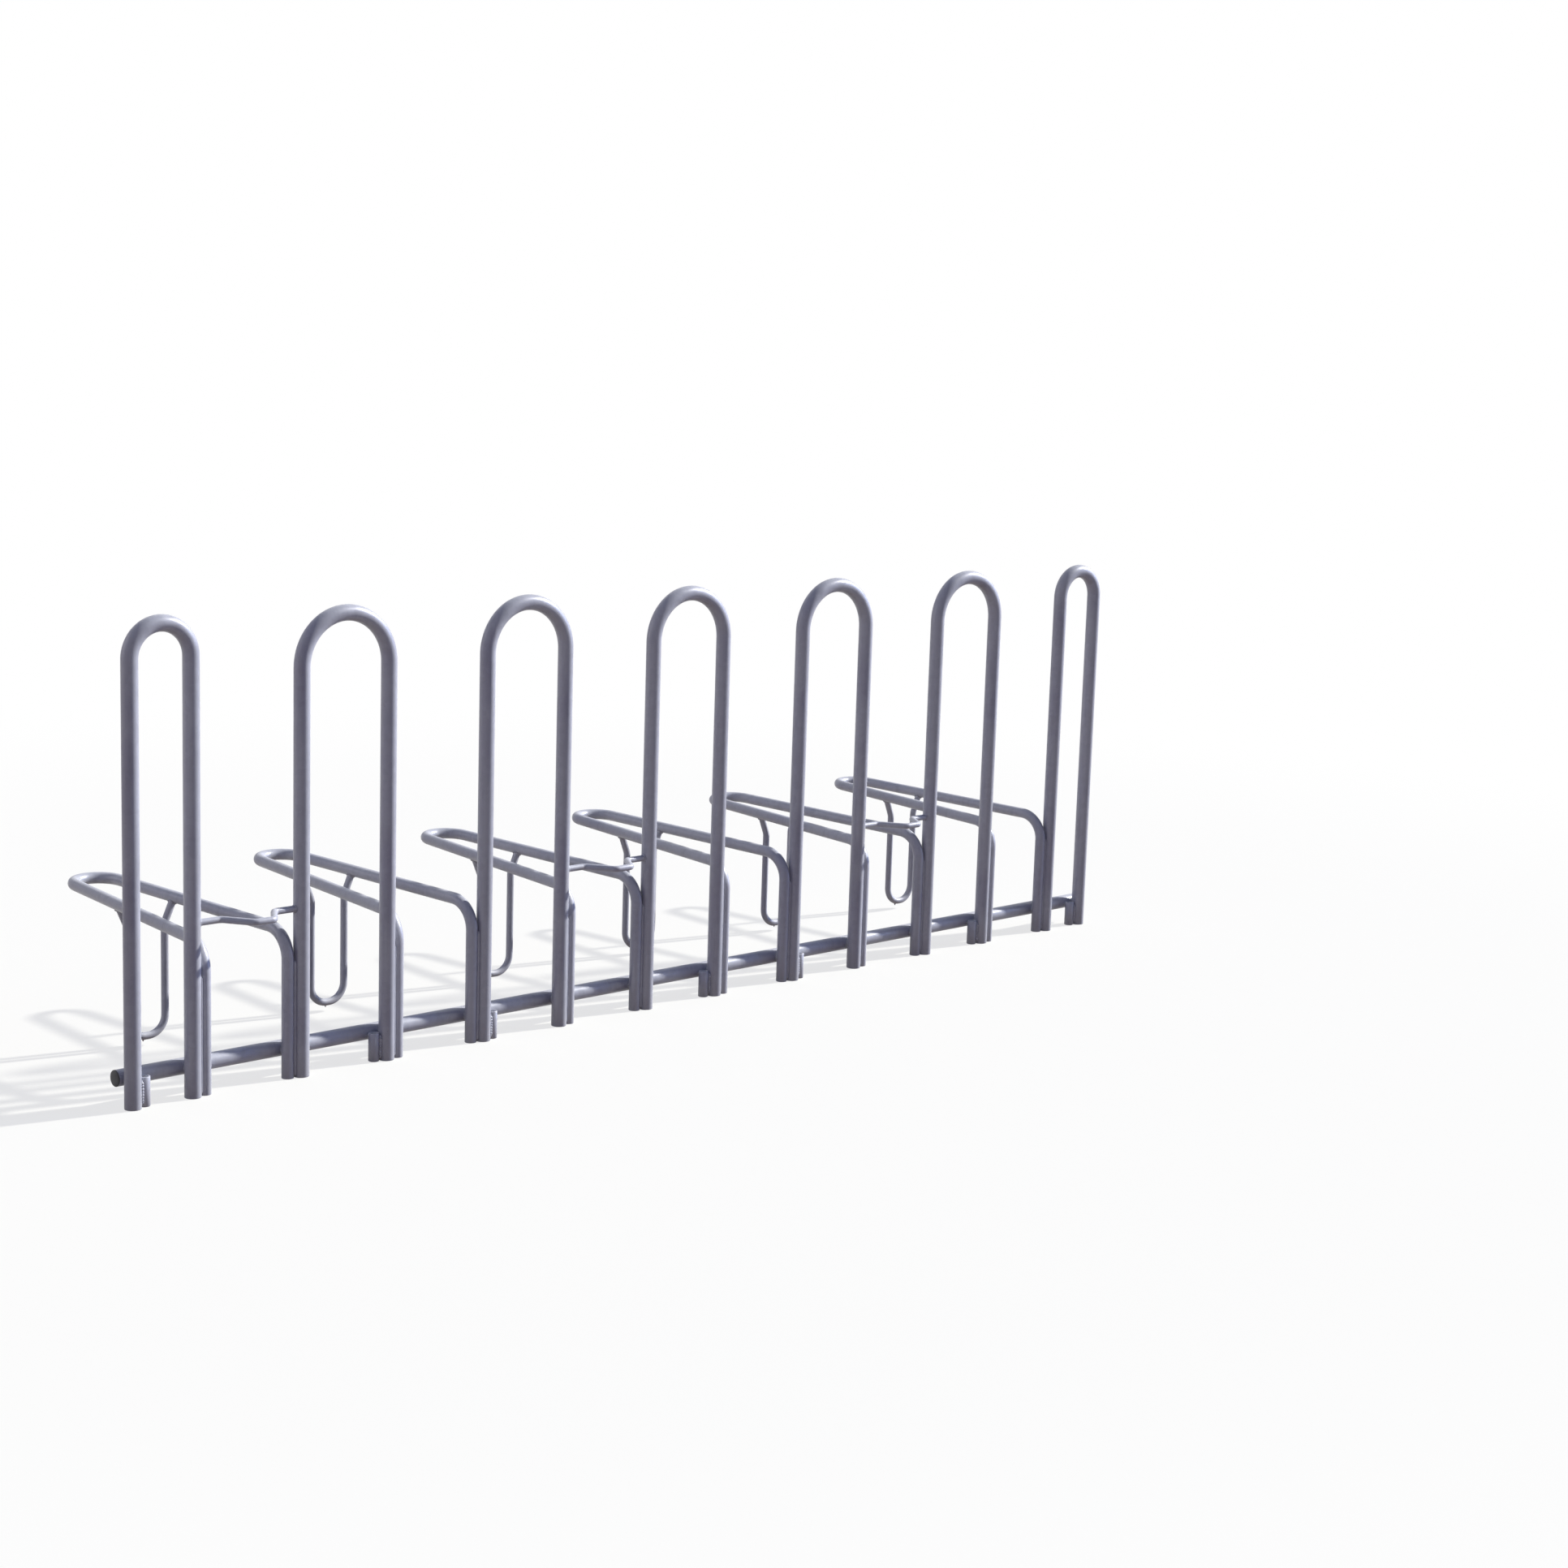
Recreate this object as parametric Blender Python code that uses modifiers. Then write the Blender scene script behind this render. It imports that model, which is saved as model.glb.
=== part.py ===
"""Row rack for bicycles: lockable hoops and low wheel loops on one base rail.

Units are metres, +Z is up. The hoops stand in the plane y = 0 of the rack's own frame, hoop 1 at the
low end of X, and the wheel loops reach back along +Y. An empty moves that frame so that the world
origin lies on the ground under the middle of the rack.
"""

import math

import bmesh
import bpy
from mathutils import Vector

# Row layout
HOOP_COUNT = 7
HOOP_HEIGHT = 0.830
HOOP_WIDTH = 0.182
END_HOOP_WIDTH = 0.115
WHEEL_GAP = 0.218

# Tube and bar sizes
HOOP_DIAMETER = 0.029
HOOP_WALL = 0.0025
RAIL_DIAMETER = 0.029
RAIL_WALL = 0.0025
LOOP_DIAMETER = 0.022
LOOP_WALL = 0.0020
STOP_DIAMETER = 0.014
CROSS_BAR_DIAMETER = 0.012
SLEEVE_DIAMETER = 0.020
SLEEVE_BORE = 0.013

# Base rail
RAIL_HEIGHT = 0.049
RAIL_OVERHANG = 0.001
CAP_HEAD = 0.003
CAP_INSERT = 0.018
CAP_CHAMFER = 0.0015

# Wheel loops
LOOP_SHOULDER_HEIGHT = 0.264
LOOP_TIP_HEIGHT = 0.275
LOOP_SHOULDER_RADIUS = 0.053
LOOP_REACH = 0.548
LOOP_TIP_WIDTH = 0.082

# Hanging tyre stops, each welded in at its own place along the arms
STOP_SETBACKS = (0.335, 0.348, 0.342, 0.360, 0.354, 0.356)
STOP_WIDTH = 0.075
STOP_CLEARANCE = 0.012
STOP_BOTTOM_RADIUS = 0.035
STOP_FLARE_DROP = 0.046
STOP_FLARE_RADIUS = 0.024

# Cross bars in every second bay, each with a bow bent out level to the front
CROSS_BAR_HEIGHT = 0.303
BOW_FORWARD = 0.053
BOW_FLAT = 0.038
BOW_RAMP = 0.034
BOW_RADIUS = 0.012

# Foot sleeves for ground anchors
SLEEVE_HEIGHT = 0.052
SLEEVED_LEGS = ("left", "right", "left", "right", "left", "right", "right")

# Fits and facets
WELD_GAP = 0.0003
FOOT_BORE_DEPTH = 0.040
CUT_OVERRUN = 0.004
THICK_RESOLUTION = 6
THIN_RESOLUTION = 4
THICK_SIDES = 4 + 2 * THICK_RESOLUTION
ARC_STEP = math.radians(12.0)
BEND_STEP = math.radians(20.0)
SAME_POINT = 1e-5
WELD_DISTANCE = 1e-5
SHARP_ANGLE = math.radians(40.0)

# Colours
ZINC = ((0.46, 0.46, 0.51), 0.42, 0.85)
CAP_PLASTIC = ((0.025, 0.025, 0.03), 0.55, 0.0)


def clear_scene():
    """Remove what the startup scene holds."""
    for obj in list(bpy.data.objects):
        bpy.data.objects.remove(obj, do_unlink=True)


def new_collection(name):
    """A collection linked to the scene."""
    collection = bpy.data.collections.new(name)
    bpy.context.scene.collection.children.link(collection)
    return collection


def new_material(name, finish):
    """A Principled material from a colour, a roughness and a metallic value."""
    colour, roughness, metallic = finish
    material = bpy.data.materials.new(name)
    material.use_nodes = True
    shader = material.node_tree.nodes["Principled BSDF"]
    shader.inputs["Base Color"].default_value = (*colour, 1.0)
    shader.inputs["Roughness"].default_value = roughness
    shader.inputs["Metallic"].default_value = metallic
    return material


def bent_path(corners, radii, step):
    """Points along straight runs between corners, each inner corner rounded to its bend radius."""
    corners = [Vector(corner) for corner in corners]
    path = [corners[0]]
    for index in range(1, len(corners) - 1):
        here = corners[index]
        back = (corners[index - 1] - here).normalized()
        ahead = (corners[index + 1] - here).normalized()
        radius = radii[index - 1]
        half_angle = back.angle(ahead) / 2
        turn = math.pi - 2 * half_angle
        centre = here + (back + ahead).normalized() * (radius / math.sin(half_angle))
        start = here + back * (radius / math.tan(half_angle))
        across = (start - centre).normalized()
        steps = max(2, math.ceil(turn / step))
        for count in range(steps + 1):
            angle = turn * count / steps
            point = centre + radius * (math.cos(angle) * across - math.sin(angle) * back)
            if (point - path[-1]).length > SAME_POINT:
                path.append(point)
    path.append(corners[-1])
    return path


def shade(mesh):
    """Smooth sides with sharp end faces."""
    mesh.shade_smooth()
    mesh.set_sharp_from_angle(angle=SHARP_ANGLE)


def tube(name, path, diameter, resolution, collection):
    """A round bar along a path: a bevelled poly curve with filled caps, made a closed mesh."""
    data = bpy.data.curves.new(name + "_route", "CURVE")
    data.dimensions = "3D"
    data.bevel_depth = diameter / 2
    data.bevel_resolution = resolution
    data.use_fill_caps = True
    spline = data.splines.new("POLY")
    spline.points.add(len(path) - 1)
    for knot, point in zip(spline.points, path):
        knot.co = (*point, 1.0)
    route = bpy.data.objects.new(name + "_route", data)
    collection.objects.link(route)
    bpy.context.view_layer.update()
    graph = bpy.context.evaluated_depsgraph_get()
    mesh = bpy.data.meshes.new_from_object(route.evaluated_get(graph))
    mesh.name = name
    obj = bpy.data.objects.new(name, mesh)
    obj.matrix_world = route.matrix_world
    collection.objects.link(obj)
    bpy.data.objects.remove(route, do_unlink=True)
    work = bmesh.new()
    work.from_mesh(mesh)
    bmesh.ops.remove_doubles(work, verts=work.verts, dist=WELD_DISTANCE)
    bmesh.ops.recalc_face_normals(work, faces=work.faces)
    work.to_mesh(mesh)
    work.free()
    shade(mesh)
    return obj


def cylinder(name, diameter, low, high, collection):
    """A closed cylinder about its own Z axis, from low to high."""
    mesh = bpy.data.meshes.new(name)
    work = bmesh.new()
    bmesh.ops.create_cone(
        work,
        cap_ends=True,
        segments=THICK_SIDES,
        radius1=diameter / 2,
        radius2=diameter / 2,
        depth=high - low,
    )
    bmesh.ops.translate(work, verts=work.verts, vec=(0, 0, (high + low) / 2))
    work.to_mesh(mesh)
    work.free()
    shade(mesh)
    obj = bpy.data.objects.new(name, mesh)
    collection.objects.link(obj)
    return obj


def turned(name, profile, collection):
    """A turned piece: a profile in the XZ plane, swept round Z by a Screw modifier."""
    mesh = bpy.data.meshes.new(name)
    work = bmesh.new()
    verts = [work.verts.new((x, 0, z)) for x, z in profile]
    for first, second in zip(verts, verts[1:]):
        work.edges.new((first, second))
    work.to_mesh(mesh)
    work.free()
    obj = bpy.data.objects.new(name, mesh)
    collection.objects.link(obj)
    screw = obj.modifiers.new("turn", "SCREW")
    screw.axis = "Z"
    screw.steps = THICK_SIDES
    screw.render_steps = THICK_SIDES
    screw.use_merge_vertices = True
    screw.merge_threshold = WELD_DISTANCE
    screw.use_smooth_shade = True
    return obj


def cut_mesh(obj, cutters):
    """The mesh of a piece after its cutters, which stay out of the render. The piece itself goes."""
    for cutter in cutters:
        cutter.hide_render = True
        cutter.display_type = "WIRE"
        modifier = obj.modifiers.new("cut_" + cutter.name, "BOOLEAN")
        modifier.operation = "DIFFERENCE"
        modifier.solver = "EXACT"
        modifier.object = cutter
    bpy.context.view_layer.update()
    graph = bpy.context.evaluated_depsgraph_get()
    mesh = bpy.data.meshes.new_from_object(obj.evaluated_get(graph))
    mesh.name = obj.name
    bpy.data.objects.remove(obj, do_unlink=True)
    shade(mesh)
    return mesh


def place(name, mesh, location, collection):
    """One copy of a piece, which may share its mesh with others."""
    obj = bpy.data.objects.new(name, mesh)
    obj.location = location
    collection.objects.link(obj)
    return obj


class Layout:
    """Where the pieces stand in the rack's own frame, worked out from the driving sizes."""

    def __init__(self):
        self.hoops = []
        left = 0.0
        for number in range(1, HOOP_COUNT + 1):
            width = self.hoop_width(number)
            self.hoops.append((left, left + width))
            left += width + WHEEL_GAP
        self.length = self.hoops[-1][1]
        self.rail_y = (HOOP_DIAMETER + RAIL_DIAMETER) / 2 + WELD_GAP
        self.rail_start = -HOOP_DIAMETER / 2 - RAIL_OVERHANG
        self.rail_end = self.length + HOOP_DIAMETER / 2 + RAIL_OVERHANG
        front = -max(HOOP_DIAMETER / 2, BOW_FORWARD + CROSS_BAR_DIAMETER / 2)
        back = LOOP_REACH + LOOP_DIAMETER / 2
        self.origin = Vector((self.length / 2, (front + back) / 2, 0))

    def hoop_width(self, number):
        """Leg spacing of a hoop: the two end hoops are narrower."""
        return END_HOOP_WIDTH if number in (1, HOOP_COUNT) else HOOP_WIDTH

    def nook(self, diameter):
        """Offset in X and Y from a hoop leg's axis to a tube that touches that leg and the rail."""
        reach = (HOOP_DIAMETER + diameter) / 2 + WELD_GAP
        y = self.rail_y - (RAIL_DIAMETER + diameter) / 2 - WELD_GAP
        return math.sqrt(reach * reach - y * y), y

    def loop_leg(self):
        """Offset in X from a bay's middle, and place in Y, of a wheel loop's legs."""
        inset, y = self.nook(LOOP_DIAMETER)
        return WHEEL_GAP / 2 - inset, y

    def bay_middle(self, number):
        """Middle of the gap between hoop number and the next."""
        return (self.hoops[number - 1][1] + self.hoops[number][0]) / 2


def hoop_path(width):
    """Up one leg, over the half-round top and down the other, about the hoop's own middle."""
    top = HOOP_HEIGHT - HOOP_DIAMETER / 2
    half = width / 2
    corners = ((-half, 0, 0), (-half, 0, top), (half, 0, top), (half, 0, 0))
    return bent_path(corners, (half, half), ARC_STEP)


def loop_path(layout):
    """Up the near leg, back along the near arm, round the tip and back to the far foot."""
    leg, leg_y = layout.loop_leg()
    tip = LOOP_TIP_WIDTH / 2
    taper = math.atan2(leg - tip, LOOP_REACH - leg_y)
    tip_radius = tip * math.tan((math.pi / 2 + taper) / 2)
    corners = (
        (-leg, leg_y, 0),
        (-leg, leg_y, LOOP_SHOULDER_HEIGHT),
        (-tip, LOOP_REACH, LOOP_TIP_HEIGHT),
        (tip, LOOP_REACH, LOOP_TIP_HEIGHT),
        (leg, leg_y, LOOP_SHOULDER_HEIGHT),
        (leg, leg_y, 0),
    )
    radii = (LOOP_SHOULDER_RADIUS, tip_radius, tip_radius, LOOP_SHOULDER_RADIUS)
    return bent_path(corners, radii, BEND_STEP)


def arm_at(layout, y):
    """Half width and height of the arms' centre lines of a wheel loop at a place along it."""
    leg, leg_y = layout.loop_leg()
    share = (y - leg_y) / (LOOP_REACH - leg_y)
    width = leg + (LOOP_TIP_WIDTH / 2 - leg) * share
    height = LOOP_SHOULDER_HEIGHT + (LOOP_TIP_HEIGHT - LOOP_SHOULDER_HEIGHT) * share
    return width, height


def stop_path(layout, setback):
    """A hanging U: from one arm down, round the bottom and up to the other arm, its tops flared."""
    arm, height = arm_at(layout, setback)
    leg = STOP_WIDTH / 2
    bottom = STOP_CLEARANCE + STOP_DIAMETER / 2
    flare = height - STOP_FLARE_DROP
    corners = (
        (-arm, setback, height),
        (-leg, setback, flare),
        (-leg, setback, bottom),
        (leg, setback, bottom),
        (leg, setback, flare),
        (arm, setback, height),
    )
    radii = (STOP_FLARE_RADIUS, STOP_BOTTOM_RADIUS, STOP_BOTTOM_RADIUS, STOP_FLARE_RADIUS)
    return bent_path(corners, radii, BEND_STEP)


def cross_bar_path():
    """From leg to leg across a bay, with a bow bent out level to the front in the middle."""
    half = WHEEL_GAP / 2
    flat = BOW_FLAT / 2
    ramp = flat + BOW_RAMP
    corners = (
        (-half, 0, CROSS_BAR_HEIGHT),
        (-ramp, 0, CROSS_BAR_HEIGHT),
        (-flat, -BOW_FORWARD, CROSS_BAR_HEIGHT),
        (flat, -BOW_FORWARD, CROSS_BAR_HEIGHT),
        (ramp, 0, CROSS_BAR_HEIGHT),
        (half, 0, CROSS_BAR_HEIGHT),
    )
    return bent_path(corners, (BOW_RADIUS,) * (len(corners) - 2), BEND_STEP)


def foot_bores(name, offset, y, bore, cutters):
    """Two cutters for the open lower ends of a bent tube's legs, either side of its middle."""
    bores = []
    for side, x in (("left", -offset), ("right", offset)):
        cutter = cylinder(f"{name}_{side}_bore", bore, -CUT_OVERRUN, FOOT_BORE_DEPTH, cutters)
        cutter.location = (x, y, 0)
        bores.append(cutter)
    return bores


def make_hoops(layout, parts, cutters):
    """The tall hoops, with open tube ends at the ground."""
    meshes = {}
    for kind, width in (("hoop", HOOP_WIDTH), ("end_hoop", END_HOOP_WIDTH)):
        blank = tube(kind, hoop_path(width), HOOP_DIAMETER, THICK_RESOLUTION, parts)
        bores = foot_bores(kind, width / 2, 0, HOOP_DIAMETER - 2 * HOOP_WALL, cutters)
        meshes[width] = cut_mesh(blank, bores)
    hoops = []
    for number, (left, right) in enumerate(layout.hoops, start=1):
        mesh = meshes[layout.hoop_width(number)]
        hoops.append(place(f"hoop_{number}", mesh, ((left + right) / 2, 0, 0), parts))
    return hoops


def in_bays(layout, kind, mesh, bays, parts):
    """Copies of a piece in the middle of the given bays."""
    return [place(f"{kind}_{bay}", mesh, (layout.bay_middle(bay), 0, 0), parts) for bay in bays]


def make_loops(layout, parts, cutters):
    """The low wheel loops behind the bays."""
    leg, leg_y = layout.loop_leg()
    blank = tube("wheel_loop", loop_path(layout), LOOP_DIAMETER, THIN_RESOLUTION, parts)
    bores = foot_bores("wheel_loop", leg, leg_y, LOOP_DIAMETER - 2 * LOOP_WALL, cutters)
    return in_bays(layout, "wheel_loop", cut_mesh(blank, bores), range(1, HOOP_COUNT), parts)


def make_stops(layout, parts, cutters):
    """The hanging tyre stops, coped at both tops to the arms that carry them."""
    size = LOOP_DIAMETER + 2 * WELD_GAP
    arms = tube("arm_cope", loop_path(layout), size, THIN_RESOLUTION, cutters)
    stops = []
    for bay, setback in enumerate(STOP_SETBACKS, start=1):
        path = stop_path(layout, setback)
        blank = tube(f"stop_blank_{bay}", path, STOP_DIAMETER, THIN_RESOLUTION, parts)
        stops += in_bays(layout, "tyre_stop", cut_mesh(blank, [arms]), [bay], parts)
    return stops


def make_cross_bars(layout, parts, cutters):
    """The cross bars of every second bay, coped at both ends to the hoop legs."""
    blank = tube("cross_bar", cross_bar_path(), CROSS_BAR_DIAMETER, THIN_RESOLUTION, parts)
    legs = []
    size = HOOP_DIAMETER + 2 * WELD_GAP
    for side, x in (("left", -WHEEL_GAP / 2), ("right", WHEEL_GAP / 2)):
        route = (Vector((x, 0, 0)), Vector((x, 0, HOOP_HEIGHT)))
        legs.append(tube(f"leg_cope_{side}", route, size, THICK_RESOLUTION, cutters))
    return in_bays(layout, "cross_bar", cut_mesh(blank, legs), range(1, HOOP_COUNT, 2), parts)


def make_rail(layout, parts, cutters):
    """The base rail, a straight tube open at both ends, behind all the legs."""
    route = (Vector((layout.rail_start, 0, 0)), Vector((layout.rail_end, 0, 0)))
    blank = tube("rail_tube", route, RAIL_DIAMETER, THICK_RESOLUTION, parts)
    low = layout.rail_start - CUT_OVERRUN
    high = layout.rail_end + CUT_OVERRUN
    bore = cylinder("rail_bore", RAIL_DIAMETER - 2 * RAIL_WALL, low, high, cutters)
    bore.rotation_euler = (0, math.pi / 2, 0)
    return place("base_rail", cut_mesh(blank, [bore]), (0, layout.rail_y, RAIL_HEIGHT), parts)


def make_caps(layout, parts):
    """The push-in plugs at the rail's two ends: a chamfered head and a stem inside the tube."""
    head = RAIL_DIAMETER / 2
    stem = (head - RAIL_WALL) * math.cos(math.pi / THICK_SIDES) - WELD_GAP
    face = WELD_GAP + CAP_HEAD
    profile = (
        (0, face),
        (head - CAP_CHAMFER, face),
        (head, face - CAP_CHAMFER),
        (head, WELD_GAP),
        (stem, WELD_GAP),
        (stem, WELD_GAP - CAP_INSERT),
        (0, WELD_GAP - CAP_INSERT),
    )
    caps = []
    for name, x, turn in (
        ("rail_cap_left", layout.rail_start, -math.pi / 2),
        ("rail_cap_right", layout.rail_end, math.pi / 2),
    ):
        cap = turned(name, profile, parts)
        cap.location = (x, layout.rail_y, RAIL_HEIGHT)
        cap.rotation_euler = (0, turn, 0)
        caps.append(cap)
    return caps


def make_sleeves(layout, parts, cutters):
    """A short open sleeve beside one leg of each hoop, on the inner side, in front of the rail."""
    offset, sleeve_y = layout.nook(SLEEVE_DIAMETER)
    blank = cylinder("foot_sleeve", SLEEVE_DIAMETER, 0, SLEEVE_HEIGHT, parts)
    top = SLEEVE_HEIGHT + CUT_OVERRUN
    bore = cylinder("sleeve_bore", SLEEVE_BORE, -CUT_OVERRUN, top, cutters)
    mesh = cut_mesh(blank, [bore])
    sleeves = []
    for number, (leg, (left, right)) in enumerate(zip(SLEEVED_LEGS, layout.hoops), start=1):
        x = left + offset if leg == "left" else right - offset
        sleeves.append(place(f"foot_sleeve_{number}", mesh, (x, sleeve_y, 0), parts))
    return sleeves


def main():
    """Build the rack piece by piece and hang it under one empty at the world origin."""
    clear_scene()
    parts = new_collection("bicycle_rack")
    cutters = new_collection("cutters")
    layout = Layout()
    zinc = new_material("galvanised_steel", ZINC)
    plastic = new_material("black_plastic", CAP_PLASTIC)
    steel = make_hoops(layout, parts, cutters)
    steel += make_loops(layout, parts, cutters)
    steel += make_stops(layout, parts, cutters)
    steel += make_cross_bars(layout, parts, cutters)
    steel.append(make_rail(layout, parts, cutters))
    steel += make_sleeves(layout, parts, cutters)
    caps = make_caps(layout, parts)
    for material, pieces in ((zinc, steel), (plastic, caps)):
        for mesh in {piece.data for piece in pieces}:
            mesh.materials.clear()
            mesh.materials.append(material)
    root = bpy.data.objects.new("rack_origin", None)
    parts.objects.link(root)
    root.location = -layout.origin
    for piece in (*steel, *caps):
        piece.parent = root


main()
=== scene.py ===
"""The looks of a row bicycle rack: galvanised tube, welds, foot sleeves and the rail's plugs.

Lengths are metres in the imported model's own frame: +X runs along the row, +Y back along the wheel
loops and +Z up, and the origin lies on the ground under the middle of the rack.
"""

from __future__ import annotations

import logging
import math
import random
from dataclasses import dataclass, field
from enum import Enum
from typing import Any, Iterable, Protocol, Sequence

import bmesh
import bpy
from mathutils import Matrix, Vector

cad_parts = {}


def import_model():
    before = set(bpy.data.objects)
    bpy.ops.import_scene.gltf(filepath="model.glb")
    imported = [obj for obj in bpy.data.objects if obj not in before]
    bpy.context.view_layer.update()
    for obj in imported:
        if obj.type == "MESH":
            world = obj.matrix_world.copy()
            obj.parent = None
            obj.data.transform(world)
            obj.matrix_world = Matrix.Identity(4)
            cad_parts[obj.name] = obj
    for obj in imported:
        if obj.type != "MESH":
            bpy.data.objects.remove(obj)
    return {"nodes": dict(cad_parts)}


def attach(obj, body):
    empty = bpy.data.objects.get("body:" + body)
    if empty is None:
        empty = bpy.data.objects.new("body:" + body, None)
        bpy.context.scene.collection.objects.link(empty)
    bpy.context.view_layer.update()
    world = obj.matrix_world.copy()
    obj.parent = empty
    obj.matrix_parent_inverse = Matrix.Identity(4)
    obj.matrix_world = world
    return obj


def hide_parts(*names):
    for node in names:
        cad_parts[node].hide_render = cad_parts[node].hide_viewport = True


LOG = logging.getLogger("bicycle_rack")
ROOT_BODY = "root"

SAME_POINT = 1e-5
WHITE = (1.0, 1.0, 1.0, 1.0)
UP = Vector((0, 0, 1))
DOWN = Vector((0, 0, -1))

Colour = tuple[float, float, float]
Number = float | int


# Shader expressions


class Wire:
    """One output of a material's node, on which plain maths can be written."""

    def __init__(self, board: NodeBoard, socket: bpy.types.NodeSocket | None) -> None:
        """Hold a socket.

        Args:
            board: The node board that the socket's node lies on.
            socket: The output socket, or None for a node that has none.
        """
        self.board = board
        self.socket = socket

    def _math(self, operation: str, first: Wire | Number, second: Wire | Number = 0.0) -> Wire:
        """Add a Math node.

        Args:
            operation: The Math node's operation.
            first: Its first value.
            second: Its second value.

        Returns:
            The node's result.
        """
        return self.board.node("ShaderNodeMath", {"operation": operation}, {0: first, 1: second})

    def __add__(self, other: Wire | Number) -> Wire:
        """Sum."""
        return self._math("ADD", self, other)

    def __radd__(self, other: Number) -> Wire:
        """Sum, reflected."""
        return self._math("ADD", other, self)

    def __sub__(self, other: Wire | Number) -> Wire:
        """Difference."""
        return self._math("SUBTRACT", self, other)

    def __rsub__(self, other: Number) -> Wire:
        """Difference, reflected."""
        return self._math("SUBTRACT", other, self)

    def __mul__(self, other: Wire | Number) -> Wire:
        """Product."""
        return self._math("MULTIPLY", self, other)

    def __rmul__(self, other: Number) -> Wire:
        """Product, reflected."""
        return self._math("MULTIPLY", other, self)

    def larger(self, other: Wire | Number) -> Wire:
        """The larger of two values."""
        return self._math("MAXIMUM", self, other)

    def ramp(self, low: float, high: float) -> Wire:
        """A smooth step.

        Args:
            low: The value that gives 0.
            high: The value that gives 1. It may lie below low, which turns the step round.

        Returns:
            A value from 0 to 1.
        """
        settings = {"interpolation_type": "SMOOTHSTEP"}
        return self.board.node(
            "ShaderNodeMapRange", settings, {"Value": self, "From Min": low, "From Max": high}
        )


@dataclass(frozen=True)
class Clouds:
    """A cloud pattern.

    Its size is in clouds to the metre, detail counts octaves and rough weighs the finer ones.
    Where an edge is given, a smooth step between its two values cuts the clouds out. Stretch
    scales the axes that the pattern is read on.
    """

    size: float
    detail: float = 2.0
    rough: float = 0.5
    edge: tuple[float, float] | None = None
    stretch: Sequence[float] = (1.0, 1.0, 1.0)


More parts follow.
